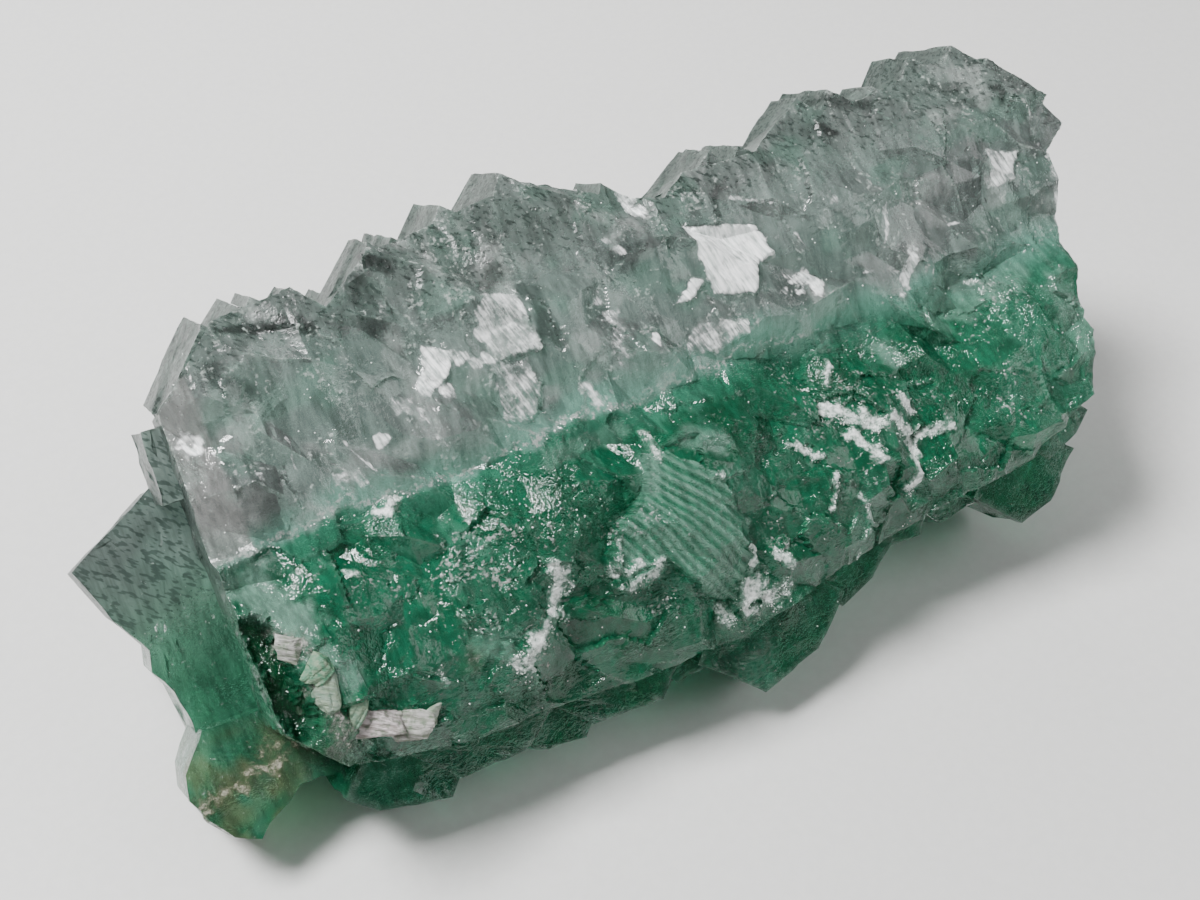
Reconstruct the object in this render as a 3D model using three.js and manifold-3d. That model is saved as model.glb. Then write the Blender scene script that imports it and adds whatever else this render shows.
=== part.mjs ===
// A natural cluster of intergrown cubic crystals, broken open along one side.
// One solid: the crystals grew together, so nothing in the cluster comes apart.
//
// The cluster is modelled lying in its own growth frame and then set down on the floor:
//   x  along the length of the cluster
//   y  the way the crystals grew, from the green base to the clear tips
//   z  out of the broken face
// The last section leans that frame back on x, cuts the flat that the cluster rests on,
// and puts the origin under the middle of the cluster. Units are millimetres, +Z up.

import * as THREE from "three";
import { mergeVertices } from "three/addons/utils/BufferGeometryUtils.js";
import Module from "manifold-3d";

const wasm = await Module();
wasm.setup();

// ---------------------------------------------------------------- driving dimensions
const CORE = [-32, 51]; // ends along x of the mass that the crystals grew on
const RIGHT = 64; // where the rows of crystals end along x
const TIP = 29; // how far the clear tips reach along y
const ZONE = 3.5; // y where the clear growth meets the green
const DEPTH = 42; // from the broken face to the back crystals
const LEAN = 44; // degrees from the floor to the growth direction
const REST = -33.5; // height of the resting flat, before the cluster is moved up to z = 0

const QUARTER = 45; // the cubes stand on an edge, so their corners point along y
const NOD = 14; // degrees that the cubes nod towards the broken face
const WOBBLE = 4; // degrees of natural misfit between one cube and the next

const rad = THREE.MathUtils.degToRad;

// A repeatable stream of numbers from 0 to 1.
function stream(seed) {
  let state = seed;
  return () => {
    state = (state + 0x6d2b79f5) | 0;
    let t = Math.imul(state ^ (state >>> 15), 1 | state);
    t = (t + Math.imul(t ^ (t >>> 7), 61 | t)) ^ t;
    return ((t ^ (t >>> 14)) >>> 0) / 4294967296;
  };
}

// ---------------------------------------------------------------- solids
function solidOf(geometry) {
  const bare = new THREE.BufferGeometry();
  bare.setAttribute("position", geometry.getAttribute("position"));
  bare.setIndex(geometry.index);
  const merged = mergeVertices(bare, 1e-4);
  return new wasm.Manifold(
    new wasm.Mesh({
      numProp: 3,
      vertProperties: new Float32Array(merged.attributes.position.array),
      triVerts: new Uint32Array(merged.index.array),
    }),
  );
}

// One crystal: a box of edge lengths a, b and c about its middle, in the cubes' common habit.
function crystal({ at, size, turn = 0, nod = NOD, swing = 0 }) {
  const [a, b, c] = Array.isArray(size) ? size : [size, size, size];
  const geometry = new THREE.BoxGeometry(a, b, c);
  const place = new THREE.Matrix4()
    .makeTranslation(...at)
    .multiply(new THREE.Matrix4().makeRotationX(rad(nod)))
    .multiply(new THREE.Matrix4().makeRotationY(rad(swing)))
    .multiply(new THREE.Matrix4().makeRotationZ(rad(QUARTER + turn)));
  return solidOf(geometry.applyMatrix4(place));
}

// A crystal given by the corner that points along y (way 1) or against it (way -1).
function pointing(way, x, y, z, size, turn = 0, more = {}) {
  const reach = (size * Math.SQRT2) / 2;
  return crystal({ at: [x, y - way * reach, z], size, turn, ...more });
}

// The same corner with its tip broken off by a plane that slopes across it.
function blunted(x, y, z, size, turn, off, slope) {
  const beyond = new THREE.BoxGeometry(40, 20, 40);
  beyond.translate(0, -10, 0);
  beyond.rotateZ(rad(slope));
  beyond.translate(x, y + off, z);
  return pointing(-1, x, y, z, size, turn).subtract(solidOf(beyond));
}

// A flat-faced crystal with the given outline, from one depth to another.
function plate(outline, from, to) {
  const shape = new THREE.Shape(outline.map(([x, y]) => new THREE.Vector2(x, y)));
  const geometry = new THREE.ExtrudeGeometry(shape, { depth: to - from, bevelEnabled: false });
  geometry.translate(0, 0, from);
  return solidOf(geometry);
}

// ---------------------------------------------------------------- the body behind the broken face
// Half widths of the body, as the outline that the broken face shows.
function body() {
  const outline = [
    [-41, 4], [-40.5, 19], [-36.5, 22.5], [-32.5, 26], [-24, 26.5], [-21.5, 23.5],
    [-15.5, 27.5], [0, 29], [6, 28.5], [13, 24.5], [18, 23], [21, 25], [30, 24.5],
    [36, 27.5], [46, 26.5], [57, 28], [63, 25.5], [66, 21], [66, 10], [63.5, 2],
    [62, -8], [59, -15], [50, -19.5], [38, -20.5], [22, -22.5], [10, -25], [-4, -24.5],
    [-24, -23], [-36, -20], [-41, -14],
  ];
  const core = new THREE.BoxGeometry(CORE[1] - CORE[0], 38, DEPTH - 10);
  core.translate((CORE[0] + CORE[1]) / 2, 0, -DEPTH / 2 - 1);
  return [plate(outline, -11, 3), solidOf(core)];
}

// ---------------------------------------------------------------- crystals
// Clear crystals along the growing edge, next to the broken face: x, y of the tip, z, edge, turn.
const FRONT_TIPS = [
  [-33.6, 27, -7, 10, 2], [-29.8, 28.2, -12, 12, -5], [-27.5, 27.9, -7, 9, 6], [-24, 27.6, -9, 7, -3],
  [-15, 29.4, -7, 9, -2], [-11, 30, -12, 10, 4], [-5.5, 30.8, -8, 12, 3], [1.2, 32, -8, 14, -3],
  [5.6, 31, -12, 11, 4], [12, 27.6, -7, 8, 0], [24.2, 27.6, -7, 8, -12], [29.6, 27.2, -8, 9, 5],
  [38, 29.6, -6, 9, -6], [43, 30.2, -9, 11, 3], [47.5, 28.4, -6, 7, -5],
  [54.8, 30.4, -7, 10, 3], [59.6, 30.6, -9, 13, -6], [64.4, 27.8, -8, 10, 5], [68, 22.6, -7, 7, -6],
];

// Green corners that stand out below the broken face, with their tips broken off:
// x, y of the tip, z, edge, turn, how much is off the tip, and the slope of that break.
const FRONT_ROOTS = [
  [-28.8, -30.2, -13, 11, 4, 2.2, -14], [-20.5, -29.8, -12, 12, -3, 2.7, 0],
  [-12.6, -30.2, -12, 10, 5, 1.7, -10], [-4.4, -30.8, -12, 12, 2, 2.8, -6],
  [4, -28.8, -11, 8, -5, 1.4, 6], [13.8, -34, -12, 14, 2, 2.2, 14],
  [26.6, -28.2, -13, 10, -4, 0.9, 20], [35, -25.2, -12, 8, 6, 1.6, -4],
  [43.2, -25.4, -12, 8, -4, 2.2, 6], [52.6, -28.2, -12, 11, 2, 1.1, 12],
  [57.6, -22, -9, 8, -3, 1, 22],
];

// Rows of crystals over the top and the back, with natural spread in place, size and pose.
const TOP_ROWS = [[15, -27], [22, -23], [29, -20], [36, -17]]; // depth, and where the row starts
const BACK_ROWS = [[16, -28], [7, -31], [-3, -34], [-12, -33], [-20, -31]]; // height and start
const SADDLES = [[-12, 5], [25, 6]]; // middle and half width of the dips along the top

function topOf(x) {
  const dip = SADDLES.some(([middle, half]) => Math.abs(x - middle) < half) ? 3 : 0;
  return TIP - 2.5 - dip;
}

function rows() {
  const made = [];
  const next = stream(7);
  const spread = (reach) => (2 * next() - 1) * reach;
  const pose = () => ({ nod: NOD + spread(WOBBLE), swing: spread(WOBBLE) });
  for (const [depth, start] of TOP_ROWS) {
    for (let x = start; x < RIGHT - 2; x += 7) {
      const size = 8 + 5 * next();
      const y = topOf(x) - (depth > 30 ? 3 : 0) + spread(1.5);
      made.push(pointing(1, x + spread(1.8), y, -depth + spread(1.5), size, spread(5), pose()));
    }
  }
  for (const [y, start] of BACK_ROWS) {
    for (let x = start; x < RIGHT - 3; x += 9) {
      const size = 9 + 6 * next();
      const z = -DEPTH + size / 2 + 2.5 * next();
      const at = [x + spread(2.5), y + spread(2.5), z];
      made.push(crystal({ at, size, turn: spread(5), ...pose() }));
    }
  }
  return made;
}

// The broad face at the left end, from its clear corner down to the green.
const LEFT_FACE = [
  [-36, 13.5], [-42.7, 12.8], [-53, 7.4], [-51, 1.4], [-48.6, -2.9], [-49.1, -5.1],
  [-47.8, -7.8], [-47.5, -10.3], [-47.2, -14], [-44, -18], [-31, -17.5], [-29, 0],
];

// The green block below it.
const LEFT_BLOCK = [
  [-47, -12.4], [-50, -15.9], [-50.5, -18.5], [-49.6, -21.3], [-47.8, -23.9], [-45.3, -25.1],
  [-44, -23.9], [-41.3, -22.6], [-39.7, -21.4], [-33.5, -22.2], [-33, -13],
];

// The left end, set back from the broken face, and what grew behind it.
function leftEnd() {
  return [
    plate(LEFT_FACE, -29.3, -14.8),
    plate(LEFT_BLOCK, -25.4, -11.7),
    crystal({ at: [-36.6, 14.2, -12], size: [7.5, 12, 10], turn: 41, nod: 4 }),
    crystal({ at: [-38.5, 3, -29], size: [15, 15, 14], turn: -12, nod: 8 }),
    crystal({ at: [-37, -9, -28], size: [13, 12, 14], turn: -9, nod: 10 }),
    crystal({ at: [-30, 12, -28], size: 12, turn: 5, nod: 8 }),
    crystal({ at: [-34, -4, -34], size: 12, turn: -6, nod: 8 }),
  ];
}

function rightEnd() {
  return [
    crystal({ at: [59, 17, -10], size: 12, turn: 3 }),
    crystal({ at: [59, 5, -18], size: 13, turn: -5 }),
    crystal({ at: [55, -9, -12], size: 9, turn: 4 }),
    crystal({ at: [52, -7, -26], size: 12, turn: -3 }),
    crystal({ at: [58, 14, -26], size: 14, turn: 6 }),
    crystal({ at: [54, 4, -34], size: 12, turn: 2 }),
  ];
}

// ---------------------------------------------------------------- the broken face
// A fracture that climbs in small steps along one direction in the face.
function terrace(x, y, along, pitch, rise) {
  const s = (x * Math.cos(rad(along)) + y * Math.sin(rad(along))) / pitch;
  return rise * (s - Math.floor(s) - 0.5);
}

// How far the broken face stands out at a place, in front of the plane z = 0.
function face(x, y, next) {
  const slow = 0.9 * Math.sin(0.11 * x + 0.6) + 0.7 * Math.sin(0.07 * x - 0.16 * y + 1.9);
  const chip = 1.7 * (next() - 0.5);
  const brow = y > 20 ? -0.35 * (y - 20) : 0;
  if (y > ZONE) return 0.6 * slow + chip + terrace(x, y, 52, 13, 1.8) + brow;
  const bulge = 2.6 * Math.sin(Math.PI * Math.min(1, (ZONE - y) / 26));
  const undercut = y > ZONE - 4 ? -1.4 : -0.6;
  const tuck = y < -18 ? 0.45 * (y + 18) : 0;
  return slow + chip + terrace(x, y, -38, 17, 2.4) + bulge + undercut + tuck;
}

// Everything in front of the broken face, as one block to take away.
function brokenAway() {
  const [wide, high, thick] = [150, 90, 40];
  const [columns, lines] = [46, 28];
  const geometry = new THREE.BoxGeometry(wide, high, thick, columns, lines, 1);
  geometry.translate(10, 0, thick / 2);
  geometry.deleteAttribute("normal");
  geometry.deleteAttribute("uv");
  const block = mergeVertices(geometry, 1e-4);
  const next = stream(19);
  const p = block.attributes.position;
  for (let i = 0; i < p.count; i++) {
    if (p.getZ(i) > 1) continue;
    const x = p.getX(i) + 1.8 * (next() - 0.5);
    const y = p.getY(i) + 1.8 * (next() - 0.5);
    p.setXYZ(i, x, y, face(x, y, next));
  }
  return solidOf(block);
}

// ---------------------------------------------------------------- the cluster
function cluster() {
  const pieces = [
    ...body(),
    ...FRONT_TIPS.map(([x, y, z, size, turn]) => pointing(1, x, y, z, size, turn)),
    ...FRONT_ROOTS.map((root) => blunted(...root)),
    ...rows(),
    ...leftEnd(),
    ...rightEnd(),
  ];
  return outside(wasm.Manifold.union(pieces).subtract(brokenAway()));
}

// The largest shell of a solid, without the pockets sealed between the crystals.
function outside(solid) {
  return solid.decompose().reduce((a, b) => (b.volume() > a.volume() ? b : a));
}

// Leans the growth frame back, takes away what is below the resting flat, and returns the
// solid with its lowest point on z = 0 and the origin under the middle of its box.
function setDown(solid) {
  const leaned = solid.rotate([LEAN, 0, 0]);
  const below = new THREE.BoxGeometry(300, 300, 100);
  below.translate(0, 0, REST - 50);
  const rested = leaned.subtract(solidOf(below));
  const { min, max } = rested.boundingBox();
  const shift = [-(min[0] + max[0]) / 2, -(min[1] + max[1]) / 2, -REST];
  return rested.translate(shift);
}

function geometryOf(solid) {
  const { vertProperties, triVerts } = solid.getMesh();
  const geometry = new THREE.BufferGeometry();
  geometry.setAttribute("position", new THREE.BufferAttribute(vertProperties, 3));
  geometry.setIndex(new THREE.BufferAttribute(triVerts, 1));
  geometry.computeVertexNormals();
  return geometry;
}

const material = new THREE.MeshStandardMaterial({ color: 0x4f9a7d, roughness: 0.25, metalness: 0 });
const mesh = new THREE.Mesh(geometryOf(setDown(cluster())), material);
mesh.name = "crystal_cluster";

const specimen = new THREE.Group();
specimen.add(mesh);
export default specimen;
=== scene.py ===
"""A broken cluster of cubic crystals, clear over emerald green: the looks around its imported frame.

Shapes are worked out in the growth frame of the cluster, in millimetres:
  x along the cluster, y from the green base to the clear tips, z out of the broken face.
"""
import math

import bmesh
import bpy
import numpy as np
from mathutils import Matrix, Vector


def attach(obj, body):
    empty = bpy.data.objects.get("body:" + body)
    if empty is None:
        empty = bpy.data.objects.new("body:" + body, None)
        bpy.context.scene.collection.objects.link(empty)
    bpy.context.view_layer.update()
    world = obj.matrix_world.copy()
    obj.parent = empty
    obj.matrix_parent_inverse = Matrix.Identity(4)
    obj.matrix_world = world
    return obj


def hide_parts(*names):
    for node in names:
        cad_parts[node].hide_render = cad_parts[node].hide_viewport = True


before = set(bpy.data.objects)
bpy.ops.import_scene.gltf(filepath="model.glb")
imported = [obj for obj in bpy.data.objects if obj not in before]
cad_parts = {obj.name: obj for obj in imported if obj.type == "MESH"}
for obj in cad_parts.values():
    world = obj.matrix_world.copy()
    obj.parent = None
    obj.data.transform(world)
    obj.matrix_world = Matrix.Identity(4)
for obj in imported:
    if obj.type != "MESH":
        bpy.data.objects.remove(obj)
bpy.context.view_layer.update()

NODE = "crystal_cluster"
LEAN = math.radians(44)  # from the floor to the growth direction
NOD = math.radians(14)  # the cubes nod towards the broken face
START = np.array([-9.961, -13.931, 33.5])  # growth frame's origin in the row frame, mm
GROW = np.array([
    [1, 0, 0],
    [0, math.cos(LEAN), -math.sin(LEAN)],
    [0, math.sin(LEAN), math.cos(LEAN)],
])
HALF = math.sqrt(0.5)
CUBE_EDGES = np.array([
    [HALF, HALF * math.cos(NOD), HALF * math.sin(NOD)],
    [-HALF, HALF * math.cos(NOD), HALF * math.sin(NOD)],
    [0, -math.sin(NOD), math.cos(NOD)],
])


def to_growth(points):
    return (np.asarray(points) * 1000 - START) @ GROW


def to_row(points):
    return (np.asarray(points) @ GROW.T + START) / 1000


# ------------------------------------------------------------------ numbers that repeat
def scramble(*whole, seed=0):
    """One repeatable number from 0 to 1 for each place on a lattice."""
    h = np.full(np.shape(whole[0]), 374761393 + seed * 668265263, np.uint64)
    for k, w in enumerate(whole):
        h ^= (np.asarray(w, np.int64).astype(np.uint64) + np.uint64(0x9E3779B9 * (k + 1)))
        h *= np.uint64(0xBF58476D1CE4E5B9)
        h ^= h >> np.uint64(29)
    h *= np.uint64(0x94D049BB133111EB)
    h ^= h >> np.uint64(32)
    return (h & np.uint64(0xFFFFFF)).astype(float) / 0xFFFFFF


def noise(*place, seed=0):
    """Smooth noise from -1 to 1, in two or three dimensions."""
    low = [np.floor(p).astype(np.int64) for p in place]
    part = [p - f for p, f in zip(place, low)]
    ease = [t * t * (3 - 2 * t) for t in part]
    total = 0
    for corner in range(2 ** len(place)):
        steps = [(corner >> k) & 1 for k in range(len(place))]
        weight = 1
        for s, e in zip(steps, ease):
            weight = weight * (e if s else 1 - e)
        total = total + weight * scramble(*[f + s for f, s in zip(low, steps)], seed=seed)
    return 2 * total - 1


def rough(*place, seed=0, layers=3):
    total, gain = 0, 1
    for k in range(layers):
        total = total + gain * noise(*[p * 2 ** k for p in place], seed=seed + 7 * k)
        gain *= 0.5
    return total


def ramp(value, low, high):
    t = np.clip((value - low) / (high - low), 0, 1)
    return t * t * (3 - 2 * t)


def mixed(share, a, b):
    """Between a and b: colours, or numbers, by a share for each place."""
    a, b = np.asarray(a, float), np.asarray(b, float)
    if (3,) in (a.shape[-1:], b.shape[-1:]):
        share = share[:, None]
    return a * (1 - share) + b * share


def nearest(x, y, size, seed, turn=0, stretch=1.0):
    """The nearest of a field of scattered seeds: its two whole numbers, and the offset from it."""
    c, s = math.cos(math.radians(turn)), math.sin(math.radians(turn))
    u = (c * x + s * y) / (size * stretch)
    v = (c * y - s * x) / size
    iu, iv = np.floor(u), np.floor(v)
    best = np.full(np.shape(u), 1e9)
    found = [np.zeros(np.shape(u)) for _ in range(4)]
    for du in (-1, 0, 1):
        for dv in (-1, 0, 1):
            a, b = iu + du, iv + dv
            ou = u - a - 0.5 - 0.85 * (scramble(a, b, seed=seed) - 0.5)
            ov = v - b - 0.5 - 0.85 * (scramble(a, b, seed=seed + 1) - 0.5)
            near = ou ** 2 + ov ** 2 < best
            best = np.where(near, ou ** 2 + ov ** 2, best)
            found = [np.where(near, new, old) for new, old in zip((a, b, ou, ov), found)]
    return found


def facets(x, y, size, seed, turn=0, stretch=1.0, step=1.0, tilt=1.0):
    """Broken crystal: flat patches, each with its own height and slope, with a sharp step between them."""
    a, b, ou, ov = nearest(x, y, size, seed, turn, stretch)
    height = step * (scramble(a, b, seed=seed + 2) - 0.5)
    height = height + 2 * tilt * (scramble(a, b, seed=seed + 3) - 0.5) * ou
    return height + 2 * tilt * (scramble(a, b, seed=seed + 4) - 0.5) * ov


# ------------------------------------------------------------------ places on the broken face
# Strokes: x and y of the start and the end, half width, strength.
CRUSTS = [
    (29.4, -0.4, 27.8, -2.7, 0.6, 1.0), (26.8, -5.1, 31.6, -8.7, 0.9, 0.9),
    (28.7, -9.0, 30.3, -11.4, 0.9, 1.0),
    (33.5, -8.6, 35.3, -11.3, 1.0, 1.0), (40.3, -11.8, 36.3, -11.9, 0.9, 0.9),
    (35.6, -12, 33.6, -17, 0.7, 1.0),
    (35.5, -6.8, 36.3, -8.9, 0.7, 1.0), (21.0, -6.9, 23.1, -9.6, 0.7, 0.9),
    (51.1, 2.0, 52.7, 1.2, 0.6, 0.8),
    (10.4, -21.0, 12.8, -21.3, 1.6, 1.0), (13.0, -21.4, 15.7, -21.5, 1.1, 0.8),
    (6.9, -20.2, 7.9, -22.7, 0.7, 0.8),
    (11.8, -16.4, 11.3, -18.2, 0.5, 0.9), (15.1, -17.4, 16.0, -19.2, 0.6, 0.9),
    (24, -12.1, 21.9, -15.4, 0.4, 0.9),
    (26.8, -15.2, 26.9, -18.2, 0.6, 0.8), (26.7, -18.8, 23.7, -23.2, 0.35, 0.7),
    (5.0, 0.0, 4.9, -2.6, 0.5, 0.8),
    (-3.4, -9.4, -3.9, -12.2, 0.4, 0.8), (-3.4, -12.7, 0.9, -12.8, 0.5, 0.9),
    (-2.7, -14.5, 0.3, -13.7, 0.7, 0.9),
    (-9.6, -9.9, -10.7, -13.7, 1.1, 1.0), (9.5, -6.9, 10.7, -6.7, 0.4, 0.8),
    (-23.8, 2.2, -21.5, 3.2, 0.9, 1.0),
    (-15.6, -17.2, -13.2, -15.4, 1.2, 1.0), (-29.7, -2.1, -28.7, -2.3, 0.4, 0.9),
    (-25.2, -14, -24.2, -16, 0.5, 0.6),
]
CRUSTS += [
    (-20.9 + 0.62 * k, -9.6 - 0.2 * k, -20.3 + 0.62 * k, -12.2 - 0.2 * k, 0.18, 0.6)
    for k in range(6)
]
# On the green block at the left end.
VEIN = [(-49.6, -20.4, -38.8, -17.6, 1.1, 0.8), (-42, -17, -38.2, -16.6, 1.8, 0.6)]
LACE = [
    (23.1, 0.3, 25.3, -6.4, 2.2, 0.7), (14.9, -13.6, 16.4, -17.1, 1.6, 0.8),
    (-19.7, -3.0, -13, -4.2, 1.3, 0.9),
    (-20.3, -4.9, -15.8, -7.9, 1.3, 0.8), (-3.1, -8.9, 2.3, -7.9, 0.9, 0.8),
    (-0.3, -17.9, 1.9, -17.1, 0.9, 0.8),
    (49.1, -7.7, 48.7, -9.8, 1.4, 0.7), (47.6, -11.5, 48.5, -13.4, 1.2, 0.7), (31, -5, 40, -10, 2.6, 0.5),
    (-12, -14.5, -15, -18, 2.2, 0.6), (5, -24, 14, -24, 1.6, 0.5), (-30, -1, -26, -6, 2.2, 0.5),
    (52, -1, 47, -4, 1.8, 0.5), (-8, -5, -12, -9, 1.5, 0.45), (26, -11, 30, -15, 2.0, 0.5),
    (-24, -10, -22, -14, 1.6, 0.5),
]
PALE = [
    (36.2, -0.7, 36.6, -2.9, 1.0, 0.6), (60.3, -2, 60.9, -9.8, 1.9, 0.6), (3.8, -2.5, 2.4, -5.4, 0.8, 0.6),
    (-38.5, 0.7, -36.3, -4.8, 2.3, 1.0), (-35.5, -8.3, -33.9, -11.1, 1.8, 0.7),
    (-30.8, 5, -27.5, 5, 1.1, 0.9),
    (9, -2, 12, -4, 1.2, 0.5), (-19, -14, -17, -15, 1.4, 0.5), (45, 0.5, 55, 1.5, 2.4, 0.5),
    (-6, 1, 3, 1, 0.9, 0.4),
]
# Painted shade: dark see-through spots on the clear rim, darkened in the colour.
PAINTED_DARK_WINDOWS = [
    (-1.1, 18.6, -0.6, 12.2, 0.9, 0.7), (-5.4, 20.2, -3.4, 21.2, 1.0, 0.7),
    (-7.1, 22.4, -7.1, 21.5, 1.1, 0.5),
    (24.2, 22.2, 22.3, 19.3, 0.45, 0.9), (-15.8, 26.8, -14.1, 25, 1.0, 1.0),
    (-17.1, 25.1, -17.1, 24.5, 0.7, 0.8),
    (-17.6, 22.6, -17, 20.5, 1.5, 0.55), (-32.7, 24.4, -29.3, 24, 0.45, 1.0),
    (-28.9, 23.8, -26.8, 23.4, 0.7, 1.0),
    (-25.6, 22.5, -24, 21.9, 0.7, 0.9), (-34.5, 20.5, -32.2, 17.3, 1.2, 0.6),
    (39.5, 25.5, 40.8, 24, 0.55, 1.0),
    (62.9, 22.5, 62.9, 21.6, 0.8, 1.0), (55.2, 25.6, 58.7, 24.1, 0.7, 0.8),
    (42.1, 27.9, 45.9, 25.5, 0.7, 0.7),
    (4.6, 14.1, 5, 12.6, 1.1, 0.45), (-30, 14, -27, 8, 0.8, 0.35), (-26, 15, -24, 11, 0.9, 0.3),
]
# Painted highlights: white strokes where the clear growth glints.
GLINTS = [
    (-21.2, 9.3, -21.0, 8.5, 0.5, 0.9), (-24.7, 9.9, -22.7, 5.9, 0.22, 0.7),
    (-13.9, 11.8, -13.4, 11.1, 1.0, 0.7),
    (-34.6, 9.9, -33.4, 9.7, 0.3, 0.9), (-18.6, 11.8, -16.9, 10.3, 0.8, 0.5),
    (9.9, 9.5, 9.9, 8.8, 0.5, 0.9),
    (6.0, 15.3, 5.7, 14.7, 0.5, 0.8), (29.2, 9.2, 31.0, 8.8, 1.2, 0.9), (44.0, 7.8, 42.8, 4.6, 0.7, 0.9),
    (43.4, 14.6, 41.6, 10.9, 0.3, 0.8), (6.4, 12.9, 5.5, 8.8, 0.9, 0.6), (13.3, 24.9, 14.2, 21.4, 0.7, 0.8),
    (0.2, 6.5, 2.1, 5.3, 0.9, 0.6), (-38.8, 14.7, -38.6, 14.0, 1.0, 0.9), (67, 19.4, 67.6, 14, 1.0, 0.9),
    (65.9, 13, 64.6, 4, 0.45, 0.7), (-11.2, 14, -7.9, 12.4, 0.8, 0.8), (8, 20, 10, 18.6, 0.35, 0.6),
    (31, 14.5, 32.5, 11.5, 0.3, 0.6), (36, 18, 37, 15.5, 0.35, 0.6), (-9.5, 22.5, -8, 22, 0.3, 0.7),
    (50, 9.5, 51.2, 9, 0.4, 0.7), (-30.5, 12.4, -29.8, 9.2, 0.22, 0.55), (-16, 7.5, -14.8, 6.2, 0.35, 0.6),
    (25, 20.5, 28.5, 19, 0.3, 0.7), (-27.5, 6.6, -24.5, 6.4, 0.6, 0.6), (38, 7.6, 39.2, 7, 0.3, 0.8),
]
# Cleavage plates in the clear growth: outline, and the strength of the white painted highlight laid over
# each.
PLATES = [
    ([(18.2, 19.4), (26.8, 16.8), (27.4, 13.1), (25.2, 12.8), (22.9, 9.5), (18.7, 11.5), (18, 15.5)], 1.0),
    ([(16.8, 14), (17.6, 12.9), (14.9, 11.2), (13.5, 11.6)], 0.9),
    ([(14.8, 9.2), (21.3, 7.6), (20.6, 5.7), (16.1, 5.2), (12.8, 5.8)], 0.62),
    ([(-6.2, 19.7), (-2.3, 18.4), (-2.1, 12.1), (-6.4, 12.4), (-8.8, 15.8)], 0.62),
    ([(-13.8, 16.5), (-11, 15), (-12.4, 12.7), (-15.1, 11), (-16.1, 11.9)], 0.85),
    ([(-7.5, 12.5), (-3.8, 11.2), (-3.6, 7.4), (-5.9, 5.3), (-8.5, 6.2)], 0.55),
    ([(58.2, 16.1), (62.4, 14.8), (60.2, 11.7), (56.7, 11.8)], 0.7),
]
FAN = [
    (4.8, -0.1), (5.6, -2.6), (9.9, -5.9), (12.5, -12.7), (12.4, -17.5), (9.4, -20.3), (6.8, -19.7),
    (4.2, -16.9), (1.5, -13.0), (-3.4, -14.4), (-4.1, -10.2), (-2.8, -8.5), (1.7, -6.3),
]
# A crevice in the green break: cut into the relief, and darkened in the colour as painted shade.
CREVICE = [(-39.9, -4.5, -38.9, -13.5, 1.5, 1.0)]
BROWN = [
    (-38.5, -18.5, -41, -20.5, 2.2, 0.7), (-20.2, -14.6, -20.8, -15.6, 1.0, 0.6),
    (-36.4, -14, -35.4, -17, 1.6, 0.5),
]


def inside(x, y, outline, soft=0.4, ragged=0.5):
    """1 inside a closed outline and 0 outside it, with a ragged border."""
    depth = np.full(np.shape(x), 1e9)
    within = np.zeros(np.shape(x), bool)
    for (ax, ay), (bx, by) in zip(outline, outline[1:] + outline[:1]):
        t = ((x - ax) * (bx - ax) + (y - ay) * (by - ay)) / ((bx - ax) ** 2 + (by - ay) ** 2)
        t = np.clip(t, 0, 1)
        depth = np.minimum(depth, np.hypot(x - ax - t * (bx - ax), y - ay - t * (by - ay)))
        if ay != by:
            crossing = ((ay > y) != (by > y)) & (x < (bx - ax) * (y - ay) / (by - ay) + ax)
            within ^= crossing
    signed = np.where(within, depth, -depth) + ragged * rough(x / 1.3, y / 1.3, seed=70)
    return ramp(signed, -soft, soft)


def strokes(x, y, lines, ragged=0.45, soft=0.45):
    """Ragged bars with soft edges and round ends: their strength inside, 0 outside."""
    wander = ragged * rough(x / 0.9, y / 0.9, seed=50)
    x, y = x + 0.6 * noise(x / 1.7, y / 1.7, seed=51), y + 0.6 * noise(x / 1.7, y / 1.7, seed=52)
    total = np.zeros(np.shape(x))
    for ax, ay, bx, by, half, strength in lines:
        dx, dy = bx - ax, by - ay
        t = np.clip(((x - ax) * dx + (y - ay) * dy) / max(dx * dx + dy * dy, 1e-6), 0, 1)
        off = np.hypot(x - ax - t * dx, y - ay - t * dy) / half + wander
        total = np.maximum(total, strength * (1 - ramp(off, 1 - soft, 1 + soft)))
    return total


def zone_line(x):
    """y of the border between the green and the clear growth on the broken face."""
    return 3.2 + 0.7 * noise(x / 7, x * 0, seed=3) + 0.45 * noise(x / 1.7, x * 0, seed=4)


def column(x, y):
    """The frosted side of the clear growth, at its left edge; its lighter colour is partly frost, partly
    painted light on the side facing the key lamp.
    """
    edge = -36.9 + 0.3 * noise(y / 3, x * 0, seed=8) - 0.03 * (y - 10)
    return (1 - ramp(x, edge - 0.12, edge + 0.12)) * ramp(y, 2.6, 3.6)


def ribs(x, y):
    """Fine parallel ribs, from 0 to 1, that run slightly apart."""
    a = math.radians(-49)
    along = (x - 5) * math.cos(a) + (y + 3) * math.sin(a)
    across = -(x - 5) * math.sin(a) + (y + 3) * math.cos(a)
    spread = across / (1 + 0.022 * along) + 0.5 * noise(x / 5, y / 5, seed=31)
    wide = 1 - np.abs(2 * (spread / 1.9 % 1) - 1)
    thin = 1 - np.abs(2 * (spread / 0.85 % 1) - 1)
    return 0.65 * thin + 0.35 * wide


def hackly(x, y):
    """Where the green break is rough, 1, or smooth and glassy, 0."""
    return ramp(rough(x / 6, y / 6, seed=91), -0.35, 0.35)


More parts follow.
